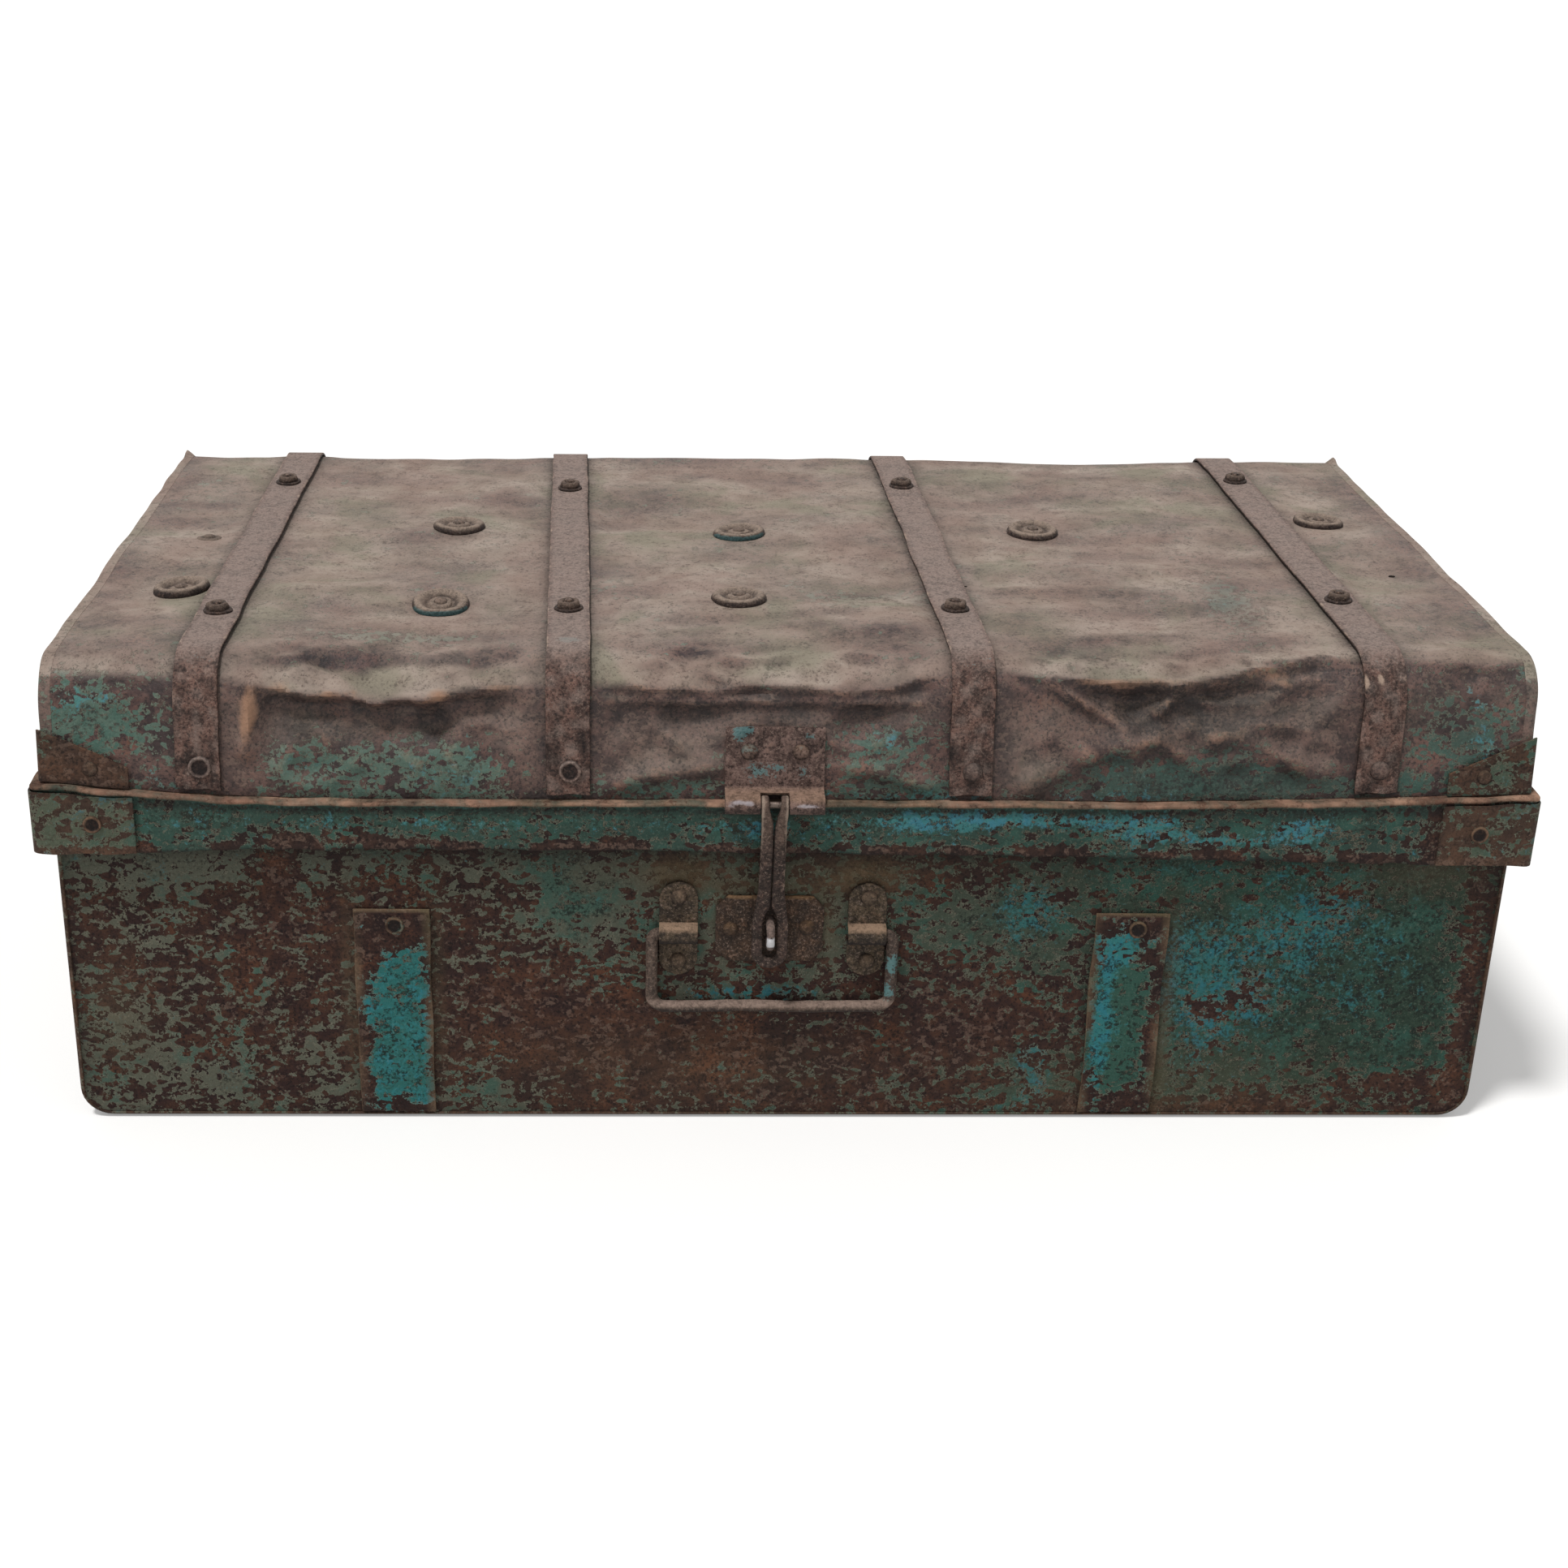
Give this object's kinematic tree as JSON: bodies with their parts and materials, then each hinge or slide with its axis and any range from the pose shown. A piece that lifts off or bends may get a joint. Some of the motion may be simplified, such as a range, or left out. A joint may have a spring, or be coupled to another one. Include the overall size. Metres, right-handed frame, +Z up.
{
  "type": "steel trunk",
  "caption": "Old painted sheet-steel travelling trunk: hinged lid with a deep skirt and iron straps, hasp and staple, drop handle on the front, battens under the tub.",
  "frame": {"origin": "centre of the overall bounding box at the floor, under the battens", "axes": "+Z up, +X along the trunk's length to the right seen from the front, -Y towards the front with the hasp and the drop handle"},
  "size_m": [0.7668, 0.4466, 0.2674],
  "materials": {
    "tub_paint": "rusted sheet steel with worn green paint",
    "lid_paint": "rusted sheet steel with worn green paint under dust",
    "band_paint": "rusted sheet steel with worn blue-green paint",
    "strap_iron": "rusted flat iron, dusty",
    "hardware_iron": "dark rusted iron",
    "worn_steel": "rubbed bare steel"
  },
  "bodies": {
    "base": {"tub_wrap": "tub_paint", "tub_front": "tub_paint", "tub_back": "tub_paint", "rim_bead_front": "tub_paint", "rim_bead_back": "tub_paint", "rim_bead_left": "tub_paint", "rim_bead_right": "tub_paint", "batten_left": "tub_paint", "batten_right": "tub_paint", "staple_plate": "hardware_iron", "staple": "worn_steel", "handle_bracket_left": "hardware_iron", "handle_bracket_right": "hardware_iron", "hinge_base_leaf_left": "hardware_iron", "hinge_base_leaf_right": "hardware_iron", "hinge_pin_left": "worn_steel", "hinge_pin_right": "worn_steel"},
    "lid": {"lid_wrap": "lid_paint", "lid_end_left": "lid_paint", "lid_end_right": "lid_paint", "lid_band": "band_paint", "lid_patch_front_left": "lid_paint", "lid_patch_front_right": "lid_paint", "lid_patch_back_left": "lid_paint", "lid_patch_back_right": "lid_paint", "skirt_patch_front_left": "band_paint", "skirt_patch_front_right": "band_paint", "skirt_patch_back_left": "band_paint", "skirt_patch_back_right": "band_paint", "lid_strap_1": "strap_iron", "lid_strap_2": "strap_iron", "lid_strap_3": "strap_iron", "lid_strap_4": "strap_iron", "strap_bolt_1": "strap_iron", "strap_bolt_2": "strap_iron", "strap_bolt_3": "strap_iron", "strap_bolt_4": "strap_iron", "strap_bolt_5": "strap_iron", "strap_bolt_6": "strap_iron", "strap_bolt_7": "strap_iron", "strap_bolt_8": "strap_iron", "lid_cap_1": "strap_iron", "lid_cap_2": "strap_iron", "lid_cap_3": "strap_iron", "lid_cap_4": "strap_iron", "lid_cap_5": "strap_iron", "lid_cap_6": "strap_iron", "lid_cap_7": "strap_iron", "hasp_plate": "hardware_iron", "hasp_pin": "worn_steel", "hinge_lid_leaf_left": "hardware_iron", "hinge_lid_leaf_right": "hardware_iron"},
    "hasp": {"hasp": "hardware_iron"},
    "bail": {"handle_bail": "hardware_iron"}
  },
  "joints": [
    {"name": "lid_hinge", "type": "hinge", "parent": "base", "child": "lid", "pos_m": [0, 0.2181, 0.1526], "axis": [-1, 0, 0], "range_deg": [0, 110]},
    {"name": "hasp_hinge", "type": "hinge", "parent": "lid", "child": "hasp", "pos_m": [-0.01228, -0.2197, 0.1897], "axis": [-1, 0, 0], "range_deg": [0, 180]},
    {"name": "bail_swing", "type": "hinge", "parent": "base", "child": "bail", "pos_m": [-0.01056, -0.2092, 0.112], "axis": [-1, 0, 0], "range_deg": [0, 155]}
  ]
}
